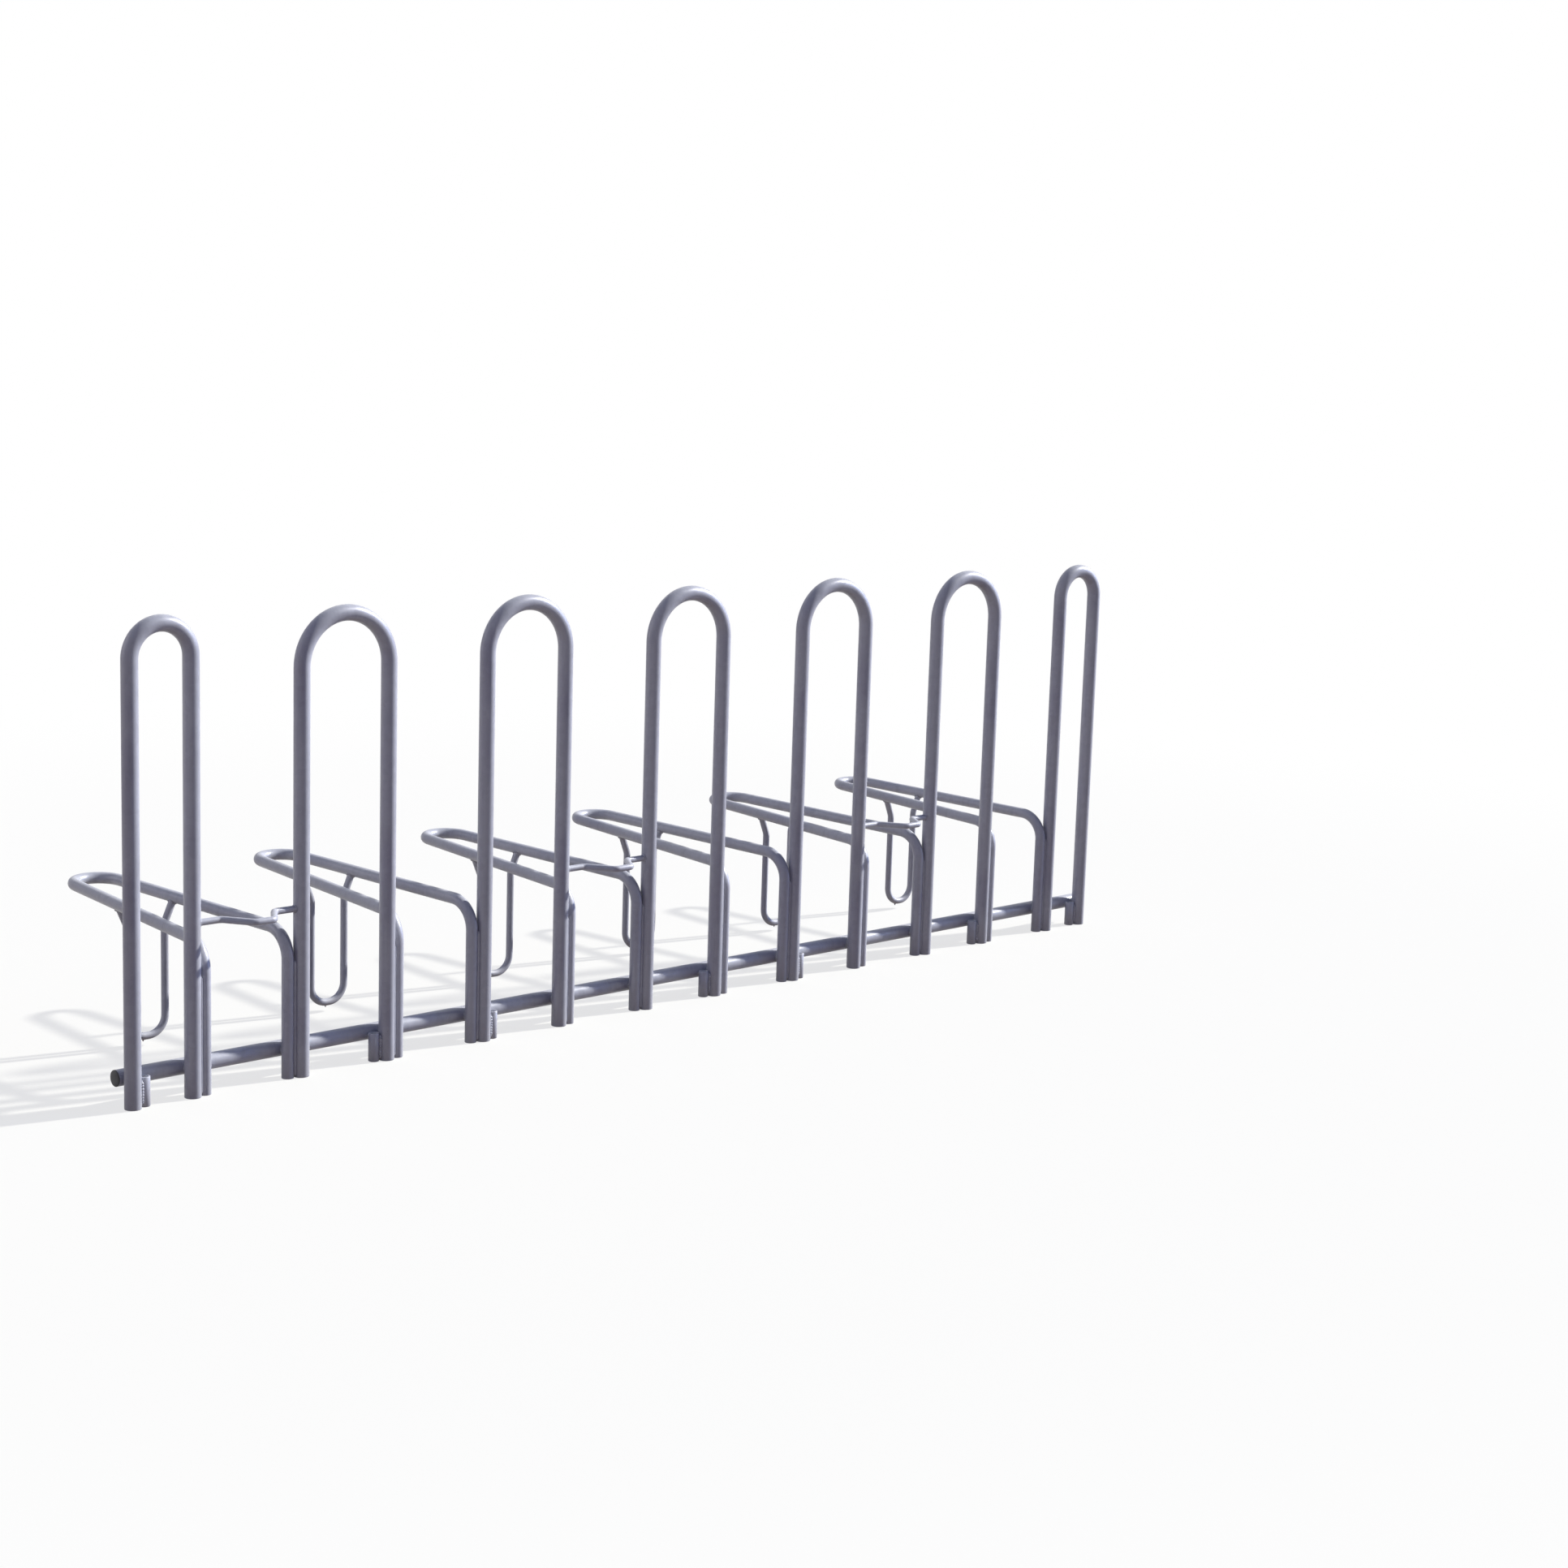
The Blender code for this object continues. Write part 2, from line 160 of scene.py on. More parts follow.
class NodeBoard:
    """The node tree of a material or a world, with one method that adds any node to it."""

    def __init__(self, owner: bpy.types.Material | bpy.types.World) -> None:
        """Clear the owner's node tree.

        Args:
            owner: The material or world.
        """
        self.owner = owner
        self.owner.use_nodes = True
        self.tree = owner.node_tree
        self.tree.nodes.clear()

    def node(
        self,
        kind: str,
        settings: dict[str, Any] | None = None,
        inputs: dict[str | int, Any] | None = None,
        output: str | int = 0,
    ) -> Wire:
        """Add a node, set it up and connect it.

        Args:
            kind: The node's type.
            settings: Its own settings, set before its sockets.
            inputs: Values or wires for its input sockets, by name or number.
            output: The output to give back.

        Returns:
            One output of the new node.
        """
        node = self.tree.nodes.new(kind)
        for key, value in (settings or {}).items():
            setattr(node, key, value)
        for key, value in (inputs or {}).items():
            socket = node.inputs[key]
            if isinstance(value, Wire):
                self.tree.links.new(value.socket, socket)
            else:
                socket.default_value = value
        return Wire(self, node.outputs[output] if node.outputs else None)

    def mix(self, factor: Wire | Number, first: Wire | Colour, second: Wire | Colour) -> Wire:
        """Blend two colours.

        Args:
            factor: 0 for the first colour, 1 for the second.
            first: A colour.
            second: A colour.

        Returns:
            The blended colour.
        """
        colours = [c if isinstance(c, Wire) else (*c, 1.0) for c in (first, second)]
        return self.node(
            "ShaderNodeMix",
            {"data_type": "RGBA"},
            {0: factor, 6: colours[0], 7: colours[1]},
            output=2,
        )

    def place(self, stretch: Sequence[float] = (1.0, 1.0, 1.0)) -> Wire:
        """The point on the rack, with each axis stretched."""
        point = self.node("ShaderNodeTexCoord", output="Object")
        return self.node("ShaderNodeVectorMath", {"operation": "MULTIPLY"}, {0: point, 1: stretch})

    def clouds(self, pattern: Clouds) -> Wire:
        """A cloud pattern on the rack.

        Args:
            pattern: The pattern.

        Returns:
            Its value, round 0.5 or cut out from 0 to 1.
        """
        inputs = {
            "Vector": self.place(pattern.stretch),
            "Scale": pattern.size,
            "Detail": pattern.detail,
            "Roughness": pattern.rough,
        }
        value = self.node("ShaderNodeTexNoise", {}, inputs)
        return value.ramp(*pattern.edge) if pattern.edge else value

    def cells(self, point: Wire, scale: float) -> Wire:
        """A random value for each cell of a crystal pattern.

        Args:
            point: Where it is read.
            scale: Cells to the metre.

        Returns:
            The red of the cell's own random colour.
        """
        inputs = {"Vector": point, "Scale": scale}
        colour = self.node("ShaderNodeTexVoronoi", {}, inputs, output="Color")
        return self.node("ShaderNodeSeparateColor", {}, {"Color": colour})

    def bump(self, height: Wire, depth: float, before: Wire | None = None) -> Wire:
        """A bumped normal.

        Args:
            height: The relief, from 0 to 1.
            depth: Its height in metres.
            before: A normal to add it to.

        Returns:
            The normal.
        """
        inputs: dict[str | int, Any] = {"Strength": 1.0, "Distance": depth, "Height": height}
        if before is not None:
            inputs["Normal"] = before
        return self.node("ShaderNodeBump", {}, inputs)

    def seen(self) -> Wire:
        """1 for a ray from the lens, or one that bounced off metal or went through glass.

        Returns:
            A mask of 0 and 1.
        """
        names = [f"Is {ray} Ray" for ray in ("Camera", "Glossy", "Transmission")]
        rays = [self.node("ShaderNodeLightPath", output=name) for name in names]
        return rays[0].larger(rays[1]).larger(rays[2])

    def blend(self, factor: Wire | Number, first: Wire, second: Wire) -> Wire:
        """Mix two shaders."""
        return self.node("ShaderNodeMixShader", {}, {0: factor, 1: first, 2: second})

    def close(self, surface: Wire) -> Any:
        """Send a shader to the output.

        Args:
            surface: The finished shader.

        Returns:
            The material or world.
        """
        kind = type(self.owner).__name__
        self.node(f"ShaderNodeOutput{kind}", {}, {"Surface": surface})
        return self.owner

    def finish(self, sockets: dict[str | int, Any]) -> bpy.types.Material:
        """Close a material with a Principled shader.

        Args:
            sockets: Values or wires for the shader's sockets.

        Returns:
            The material.
        """
        return self.close(self.node("ShaderNodeBsdfPrincipled", {}, sockets))


# Finishes


@dataclass(frozen=True)
class HotDipZinc:
    """Weathered hot-dip zinc: faint crystals, pale bloom, dull runs, scuffs and a dusty foot.

    The dust's edge holds the heights where it is gone and where it is full, and wanders by
    dust_drift.
    """

    name: str = "hot_dip_zinc"
    grey: Colour = (0.450, 0.455, 0.495)
    pale: Colour = (0.555, 0.562, 0.600)
    dark: Colour = (0.270, 0.272, 0.300)
    bright: Colour = (0.680, 0.690, 0.720)
    dust: Colour = (0.465, 0.455, 0.445)
    metallic: float = 0.08
    gloss: float = 0.32
    crystals_per_metre: float = 95.0
    bloom: Clouds = Clouds(6.0, 4.0, 0.6, (0.40, 0.66))
    runs: Clouds = Clouds(70.0, 3.0, 0.55, (0.48, 0.74), (1.0, 1.0, 0.10))
    grain: Clouds = Clouds(900.0)
    specks: Clouds = Clouds(230.0, 3.0, 0.7, (0.68, 0.76))
    scuffs: Clouds = Clouds(130.0, 4.0, 0.7, (0.66, 0.74), (0.35, 0.35, 3.0))
    drift: Clouds = Clouds(40.0, 4.0, 0.6)
    lumps: Clouds = Clouds(60.0, 3.0, 0.55)
    dust_edge: tuple[float, float] = (0.075, 0.020)
    dust_drift: float = 0.05
    lump_depth: float = 0.00012
    grain_depth: float = 0.00004

    def material(self) -> bpy.types.Material:
        """The finish as a node material.

        Returns:
            The material.
        """
        board = NodeBoard(bpy.data.materials.new(self.name))
        point = board.place()
        crystal = board.cells(point, self.crystals_per_metre)
        bloom = board.clouds(self.bloom)
        grain = board.clouds(self.grain)
        specks = board.clouds(self.specks)
        scuffs = board.clouds(self.scuffs)
        height = board.node("ShaderNodeSeparateXYZ", {}, {"Vector": point}, output="Z")
        dust = (height + board.clouds(self.drift) * self.dust_drift).ramp(*self.dust_edge)
        # Each number is a pattern's share in the mix, and below, what it adds to the roughness.
        colour = board.mix(crystal * 0.40 + bloom * 0.45 + grain * 0.12, self.grey, self.pale)
        colour = board.mix(board.clouds(self.runs) * 0.22, colour, self.dark)
        colour = board.mix(specks * 0.55, colour, self.dark)
        colour = board.mix(scuffs * 0.50, colour, self.bright)
        colour = board.mix(dust * 0.45, colour, self.dust)
        rough = self.gloss + crystal * 0.08 + bloom * 0.10 + dust * 0.20 - scuffs * 0.06
        normal = board.bump(board.clouds(self.lumps), self.lump_depth)
        normal = board.bump(grain * 0.7 + specks * 0.3, self.grain_depth, normal)
        return board.finish(
            {
                "Base Color": colour,
                "Roughness": rough,
                "Metallic": self.metallic * (1.0 - bloom),
                "Normal": normal,
            }
        )


@dataclass(frozen=True)
class ZincedWeld:
    """Weld metal under zinc: a little duller than the tube, with dark and pale patches."""

    name: str = "zinced_weld"
    grey: Colour = (0.400, 0.402, 0.435)
    pale: Colour = (0.530, 0.535, 0.570)
    burnt: Colour = (0.240, 0.232, 0.240)
    metallic: float = 0.08
    gloss: float = 0.44
    patches: Clouds = Clouds(120.0, 3.0, 0.6)
    patch_edge: tuple[float, float] = (0.40, 0.65)
    scorch: Clouds = Clouds(300.0, 3.0, 0.6, (0.50, 0.70))
    pits: Clouds = Clouds(800.0, 3.0, 0.65)
    pit_depth: float = 0.00012

    def material(self) -> bpy.types.Material:
        """The finish as a node material.

        Returns:
            The material.
        """
        board = NodeBoard(bpy.data.materials.new(self.name))
        patches = board.clouds(self.patches)
        colour = board.mix(patches.ramp(*self.patch_edge), self.grey, self.pale)
        colour = board.mix(board.clouds(self.scorch) * 0.55, colour, self.burnt)
        return board.finish(
            {
                "Base Color": colour,
                "Roughness": self.gloss + patches * 0.20,
                "Metallic": self.metallic,
                "Normal": board.bump(board.clouds(self.pits), self.pit_depth),
            }
        )


@dataclass(frozen=True)
class MouldedPlastic:
    """Black moulded polyethylene, greyed by the weather and scuffed on its face."""

    name: str = "moulded_plastic"
    black: Colour = (0.022, 0.022, 0.025)
    greyed: Colour = (0.075, 0.074, 0.076)
    gloss: float = 0.52
    chalk: Clouds = Clouds(90.0, 4.0, 0.6, (0.45, 0.75))
    scuffs: Clouds = Clouds(700.0, 3.0, 0.6, (0.58, 0.70), (1.0, 0.15, 1.0))
    grain: Clouds = Clouds(1500.0)
    grain_depth: float = 0.00005

    def material(self) -> bpy.types.Material:
        """The finish as a node material.

        Returns:
            The material.
        """
        board = NodeBoard(bpy.data.materials.new(self.name))
        chalk = board.clouds(self.chalk)
        wear = chalk * 0.6 + board.clouds(self.scuffs) * 0.4
        return board.finish(
            {
                "Base Color": board.mix(wear, self.black, self.greyed),
                "Roughness": self.gloss + chalk * 0.18,
                "Normal": board.bump(board.clouds(self.grain), self.grain_depth),
            }
        )


@dataclass(frozen=True)
class StudioPaper:
    """The pale paper of the floor, which keeps the shadow and turns white further out.

    The lens sees the paper's own colour, and what it casts back on the rack has a darker one.
    Lift is the share of plain white in what the lens sees. It rises to 1 between near and far,
    in metres from the middle.
    """

    name: str = "studio_paper"
    paper: Colour = (0.900, 0.875, 0.765)
    cast_back: Colour = (0.095, 0.054, 0.045)
    fibre: Clouds = Clouds(260.0, 3.0, 0.6)
    fibre_shade: float = 0.985
    fibre_depth: float = 0.0001
    gloss: float = 0.95
    lift: float = 0.72
    near: float = 1.9
    far: float = 4.2

    def material(self) -> bpy.types.Material:
        """The finish as a node material.

        Returns:
            The material.
        """
        board = NodeBoard(bpy.data.materials.new(self.name))
        fibre = board.clouds(self.fibre)
        shade = tuple(channel * self.fibre_shade for channel in self.paper)
        seen = board.seen()
        sockets = {
            "Base Color": board.mix(seen, self.cast_back, board.mix(fibre, shade, self.paper)),
            "Roughness": self.gloss,
            "Normal": board.bump(fibre, self.fibre_depth),
        }
        paper = board.node("ShaderNodeBsdfPrincipled", {}, sockets)
        white = board.node("ShaderNodeEmission", {}, {"Color": WHITE})
        length = {"operation": "LENGTH"}
        away = board.node("ShaderNodeVectorMath", length, {0: board.place()}, output="Value")
        share = self.lift + away.ramp(self.near, self.far) * (1.0 - self.lift)
        return board.close(board.blend(seen * share, paper, white))


class Finish(Enum):
    """The finishes that a piece can take, each with the record's slot that it stands for."""

    ZINC = (HotDipZinc, "galvanised_steel")
    WELD = (ZincedWeld, "galvanised_steel")
    PLASTIC = (MouldedPlastic, "black_plastic")

    def material(self) -> bpy.types.Material:
        """A new material of this finish."""
        return self.value[0]().material()

    @property
    def slot(self) -> str:
        """The record's material slot."""
        return self.value[1]


class Paintbox:
    """The materials, each made once."""

    def __init__(self) -> None:
        """Start with none made."""
        self._made: dict[Finish, bpy.types.Material] = {}

    def material(self, finish: Finish) -> bpy.types.Material:
        """The material of a finish.

        Args:
            finish: The finish.

        Returns:
            Its material, made at the first call.
        """
        if finish not in self._made:
            self._made[finish] = finish.material()
        return self._made[finish]


# Shapes

# A tube end's lip radius as a share of the wall, and the angles of its rings in degrees.
LIP_SHARE = 0.35
LIP_TURNS = (0, 30, 60, 90)

# A drop's outline, as shares of its length and of its widest radius.
DROP = ((0.0, 1.0), (0.3, 0.95), (0.55, 0.72), (0.75, 0.50), (0.9, 0.36), (1.0, 0.14))
DROP_SIDES = 12

GROOVE_STEP = 0.004
SADDLE_POINTS = 28


@dataclass(frozen=True)
class Ring:
    """One ring of a swept skin, square to the way it faces."""

    centre: Vector
    radius: float
    facing: Vector


def rounded(
    corners: Sequence[Sequence[float]], radii: Sequence[float], step: float
) -> list[Vector]:
    """A centre line of straight runs with rounded corners.

    Args:
        corners: The corner points, ends included.
        radii: A bend radius for each inner corner.
        step: The largest turn between two points, in radians.

    Returns:
        The points.
    """
    points = [Vector(corner) for corner in corners]
    line = [points[0]]
    for index, radius in enumerate(radii, start=1):
        here = points[index]
        back = (points[index - 1] - here).normalized()
        ahead = (points[index + 1] - here).normalized()
        half = back.angle(ahead) / 2
        turn = math.pi - 2 * half
        middle = here + (back + ahead).normalized() * (radius / math.sin(half))
        across = (here + back * (radius / math.tan(half)) - middle).normalized()
        steps = max(2, math.ceil(turn / step))
        for count in range(steps + 1):
            angle = turn * count / steps
            point = middle + radius * (math.cos(angle) * across - math.sin(angle) * back)
            if (point - line[-1]).length > SAME_POINT:
                line.append(point)
    line.append(points[-1])
    return line


def headings(line: Sequence[Vector], loop: bool = False) -> list[Vector]:
    """The direction of a line at each of its points.

    Args:
        line: The points.
        loop: Whether the last point leads back to the first.

    Returns:
        Unit vectors.
    """
    last = len(line) - 1
    found = []
    for index in range(last + 1):
        before = line[index - 1] if loop or index else line[0]
        after = line[(index + 1) % (last + 1)] if loop or index < last else line[last]
        found.append((after - before).normalized())
    return found


def skin(mesh: bmesh.types.BMesh, rings: Sequence[Ring], sides: int, loop: bool = False) -> None:
    """Sweep a round section along rings.

    Args:
        mesh: Takes the new faces.
        rings: The rings in order, some of which may lie inside others.
        sides: Faces round the section.
        loop: Whether the last ring joins the first, in place of end faces.
    """
    normal = rings[0].facing.orthogonal().normalized()
    normals = [normal]
    for before, after in zip(rings, rings[1:]):
        normal = (before.facing.rotation_difference(after.facing) @ normal).normalized()
        normals.append(normal)
    slip = 0.0
    if loop:
        first, last = rings[0].facing, rings[-1].facing
        closing = (last.rotation_difference(first) @ normals[-1]).normalized()
        slip = math.atan2(closing.cross(normals[0]).dot(first), closing.dot(normals[0]))
    rows = []
    for index, ring in enumerate(rings):
        twist = slip * index / len(rings)
        side = ring.facing.cross(normals[index])
        row = []
        for part in range(sides):
            angle = twist + 2 * math.pi * part / sides
            offset = normals[index] * math.cos(angle) + side * math.sin(angle)
            row.append(mesh.verts.new(ring.centre + offset * ring.radius))
        rows.append(row)
    for near, far in zip(rows, rows[1:] + (rows[:1] if loop else [])):
        for part in range(sides):
            ahead = (part + 1) % sides
            mesh.faces.new((near[part], near[ahead], far[ahead], far[part]))
    if not loop:
        mesh.faces.new(list(reversed(rows[0])))
        mesh.faces.new(rows[-1])


def turned_in(radius: float, wall: float, depth: float) -> list[tuple[float, float]]:
    """How a tube's open end turns in round its lip.

    Args:
        radius: The tube's outer radius.
        wall: Its wall.
        depth: How far the bore is made.

    Returns:
        Pairs of distance from the end, along the tube, and radius, from the bore to the outside.
    """
    lip = wall * LIP_SHARE
    inner = radius - wall
    turns = [math.radians(angle) for angle in LIP_TURNS]
    pairs = [(depth, inner)]
    pairs += [(lip - lip * math.sin(turn), inner + lip - lip * math.cos(turn)) for turn in turns]
    pairs += [(lip - lip * math.cos(turn), radius - lip + lip * math.sin(turn)) for turn in turns]
    return pairs


def hollow(line: Sequence[Vector], radius: float, wall: float, depth: float) -> list[Ring]:
    """Rings of a tube with both ends open.

    Args:
        line: The centre line.
        radius: The tube's outer radius.
        wall: Its wall.
        depth: How far the bores are made.

    Returns:
        The rings, from the bottom of one bore out, along the tube and into the other.
    """
    ways = headings(line)
    pairs = turned_in(radius, wall, depth)
    rings = [Ring(line[0] + ways[0] * away, size, ways[0]) for away, size in pairs]
    rings += [Ring(point, radius, way) for point, way in zip(line[1:-1], ways[1:-1])]
    rings += [Ring(line[-1] - ways[-1] * away, size, ways[-1]) for away, size in reversed(pairs)]
    return rings


def solid(line: Sequence[Vector], radius: float) -> list[Ring]:
    """Rings of a plain bar."""
    return [Ring(point, radius, way) for point, way in zip(line, headings(line))]


@dataclass(frozen=True)
class Bead:
    """A weld bead laid along a line: a row of overlapping ripples with tapered ends.

    The relief is the ripples' height and the scatter the chance in it, each as a share of what
    comes before, and the taper is the length of an end in radii.
    """

    line: Sequence[Vector]
    radius: float
    loop: bool = False
    ripple: float = 0.0021
    relief: float = 0.10
    scatter: float = 0.4
    taper: float = 1.4
    blunt: float = 0.06
    seed: int = 1
    rings_per_ripple: int = 4
    fewest_rings: int = 8
    sides: int = 8

    def width(self, along: float, total: float, chance: random.Random) -> float:
        """The bead's radius at a place.

        Args:
            along: How far the place is from the start.
            total: The bead's length.
            chance: Gives the ripples their unevenness.

        Returns:
            The radius.
        """
        wave = 1.0 + self.relief * math.sin(2 * math.pi * along / self.ripple)
        wave += self.relief * chance.uniform(-self.scatter, self.scatter)
        if not self.loop:
            reach = min(1.0, min(along, total - along) / (self.radius * self.taper))
            wave *= math.sqrt(max(self.blunt, 1.0 - (1.0 - reach) ** 2))
        return self.radius * wave

    def lay(self, mesh: bmesh.types.BMesh) -> None:
        """Add the bead to a mesh.

        Args:
            mesh: Takes the new faces.
        """
        chance = random.Random(self.seed)
        points = list(self.line) + ([self.line[0]] if self.loop else [])
        marks = [0.0]
        for near, far in zip(points, points[1:]):
            marks.append(marks[-1] + (far - near).length)
        total = marks[-1]
        steps = max(self.fewest_rings, math.ceil(total / self.ripple * self.rings_per_ripple))
        centres, sizes = [], []
        for count in range(steps if self.loop else steps + 1):
            along = total * count / steps
            ahead = next((i for i, mark in enumerate(marks) if mark >= along and i), len(marks) - 1)
            share = (along - marks[ahead - 1]) / (marks[ahead] - marks[ahead - 1])
            centres.append(points[ahead - 1].lerp(points[ahead], share))
            sizes.append(self.width(along, total, chance))
        ways = headings(centres, self.loop)
        rings = [Ring(*each) for each in zip(centres, sizes, ways)]
        skin(mesh, rings, self.sides, self.loop)


def drip(mesh: bmesh.types.BMesh, top: Vector, radius: float, length: float) -> None:
    """A frozen drop of zinc below a point.

    Args:
        mesh: Takes the new faces.
        top: Where the drop starts, inside the bar that it hangs from.
        radius: Its widest radius.
        length: How far it reaches down.
    """
    rings = [Ring(top + DOWN * length * share, radius * size, DOWN) for share, size in DROP]
    skin(mesh, rings, DROP_SIDES)


def mirrored(half: Sequence[Sequence[float]], middle: float) -> list[Vector]:
    """A line that is the same on both sides of a bay's middle.

    Args:
        half: The points of its right half from the outside in, with X from the middle.
        middle: X of the middle.

    Returns:
        The points from left to right.
    """
    left = [Vector((middle - x, y, z)) for x, y, z in half]
    return left + [Vector((middle + x, y, z)) for x, y, z in reversed(half)]


class Workshop:
    """Turns meshes into pieces of the rack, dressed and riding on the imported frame."""

    def __init__(self, paints: Paintbox) -> None:
        """Open the workshop.

        Args:
            paints: The materials.
        """
        self.paints = paints
        self.count = 0

    def piece(
        self,
        name: str,
        mesh: bmesh.types.BMesh,
        finish: Finish,
        stands_for: str | None = None,
        sharp: float = 50.0,
    ) -> bpy.types.Object:
        """Make a piece of the rack from a mesh.

        Args:
            name: The piece's name.
            mesh: Its shape, which is used up.
            finish: Its finish.
            stands_for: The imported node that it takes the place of.
            sharp: Edges above this angle, in degrees, stay sharp.

        Returns:
            The object.
        """
        bmesh.ops.recalc_face_normals(mesh, faces=mesh.faces)
        data = bpy.data.meshes.new(name)
        mesh.to_mesh(data)
        mesh.free()
        data.shade_smooth()
        data.set_sharp_from_angle(angle=math.radians(sharp))
        data.materials.append(self.paints.material(finish))
        made = bpy.data.objects.new(name, data)
        bpy.context.scene.collection.objects.link(made)
        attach(made, ROOT_BODY)
        finish.slot
        if stands_for:
            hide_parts(stands_for)
        self.count += 1
        return made


# The rack


@dataclass(frozen=True)
class RowPlan:
    """Where the pieces stand. All other classes take their places from here.

    Reach and front are how far the rack goes behind and before the hoops' plane, the setbacks are
    the tyre stops' places behind it, and touch is the gap between pieces that touch.
    """

    hoops: int = 7
    hoop_width: float = 0.182
    end_hoop_width: float = 0.115
    wheel_gap: float = 0.218
    hoop_radius: float = 0.0145
    rail_radius: float = 0.0145
    reach: float = 0.559
    front: float = 0.059
    touch: float = 0.0003
    setbacks: tuple[float, ...] = (0.335, 0.348, 0.342, 0.360, 0.354, 0.356)

    @property
    def length(self) -> float:
        """From the first leg's centre line to the last one's."""
        inner = (self.hoops - 2) * self.hoop_width
        return 2 * self.end_hoop_width + inner + (self.hoops - 1) * self.wheel_gap

    @property
    def leg_y(self) -> float:
        """Place of the hoops' plane."""
        return -(self.reach - self.front) / 2

    @property
    def rail_y(self) -> float:
        """Place of the rail's centre line, behind the legs."""
        return self.leg_y + self.hoop_radius + self.rail_radius + self.touch

    def width(self, hoop: int) -> float:
        """Leg spacing of a hoop."""
        return self.end_hoop_width if hoop in (1, self.hoops) else self.hoop_width

    def legs(self, hoop: int) -> tuple[float, float]:
        """Places of a hoop's two legs.

        Args:
            hoop: The hoop's number, from 1.

        Returns:
            X of the left and of the right leg.
        """
        left = -self.length / 2
        left += sum(self.width(before) + self.wheel_gap for before in range(1, hoop))
        return left, left + self.width(hoop)

    def bay(self, number: int) -> float:
        """X of the middle of a wheel bay."""
        return (self.legs(number)[1] + self.legs(number + 1)[0]) / 2

    def nook(self, radius: float) -> tuple[float, float]:
        """Where a tube lies that touches a hoop leg and the rail.

        Args:
            radius: The tube's radius.

        Returns:
            Its offset in X from the leg's centre line, and its Y.
        """
        reach = self.hoop_radius + radius + self.touch
        back = self.hoop_radius - radius
        return math.sqrt(reach * reach - back * back), self.leg_y + back


@dataclass(frozen=True)
class Contact:
    """The touching point of an upright tube in front and a level one behind, ringed by a weld."""

    middle: Vector
    upright_radius: float
    level_radius: float
    size: float = 0.0075
    thickness: float = 0.0024
    ring_points: int = 24
    half_steps: int = 14

    def point(self, angle: float) -> Vector:
        """A point half-way between the two skins, at an angle round the contact.

        Args:
            angle: The angle in radians, from +X towards +Z.

        Returns:
            The point.
        """
        x = self.size * math.cos(angle)
        z = self.size * math.sin(angle)
        front = math.sqrt(self.upright_radius**2 - x * x) - self.upright_radius
        back = self.level_radius - math.sqrt(self.level_radius**2 - z * z)
        return self.middle + Vector((x, (front + back) / 2, z))

    def ring(self, seed: int) -> Bead:
        """The weld all round the contact.

        Args:
            seed: Makes this bead's ripples its own.

        Returns:
            A closed bead.
        """
        turns = range(self.ring_points)
        line = [self.point(2 * math.pi * count / self.ring_points) for count in turns]
        return Bead(line, self.thickness, loop=True, seed=seed)

    def lower_half(self, seed: int) -> Bead:
        """The weld below the contact, where the upright tube ends just above it.

        Args:
            seed: Makes this bead's ripples its own.

        Returns:
            A bead with two ends.
        """
        turns = range(self.half_steps + 1)
        line = [self.point(math.pi * (1 + count / self.half_steps)) for count in turns]
        return Bead(line, self.thickness, seed=seed)


def groove(
    first: Vector,
    second: Vector,
    radii: tuple[float, float],
    side: float,
    span: tuple[float, float],
    proud: float = 0.42,
) -> list[Vector]:
    """A line in the groove between two upright tubes that touch.

    Args:
        first: A point on the first tube's centre line.
        second: A point on the second tube's centre line.
        radii: The two radii.
        side: -1 for the groove in front, 1 for the one behind.
        span: The line's lower and upper end.
        proud: How far out of the groove it lies, as a share of the smaller radius.

    Returns:
        The points, from below.
    """
    across = Vector((second.x - first.x, second.y - first.y, 0)).normalized()
    out = Vector((-across.y, across.x, 0))
    if out.y * side < 0:
        out = -out
    near = first + across * radii[0] + out * (min(radii) * proud)
    low, high = span
    steps = max(4, math.ceil((high - low) / GROOVE_STEP))
    levels = [low + (high - low) * count / steps for count in range(steps + 1)]
    return [Vector((near.x, near.y, level)) for level in levels]


def saddle(
    bar: Vector,
    aim: Vector,
    bar_radius: float,
    tube: Vector,
    along: Vector,
    tube_radius: float,
) -> list[Vector]:
    """The line where a bar's skin meets the skin of the tube that it ends on.

    Args:
        bar: A point on the bar's centre line, outside the tube.
        aim: The direction in which the bar runs into the tube.
        bar_radius: The bar's radius.
        tube: A point on the tube's centre line.
        along: The tube's direction.
        tube_radius: The tube's radius.

    Returns:
        Points round the joint.
    """
    aim = aim.normalized()
    along = along.normalized()
    side = aim.orthogonal().normalized()
    other = aim.cross(side)
    # The skins meet at the smaller root of a quadratic in the distance along the bar.
    flat_aim = aim - along * aim.dot(along)
    a = flat_aim.length_squared
    line = []
    for count in range(SADDLE_POINTS):
        angle = 2 * math.pi * count / SADDLE_POINTS
        start = bar + bar_radius * (math.cos(angle) * side + math.sin(angle) * other)
        gap = start - tube
        flat_gap = gap - along * gap.dot(along)
        b = 2 * flat_aim.dot(flat_gap)
        c = flat_gap.length_squared - tube_radius**2
        inside = max(0.0, b * b - 4 * a * c)
        line.append(start + aim * ((-b - math.sqrt(inside)) / (2 * a)))
    return line


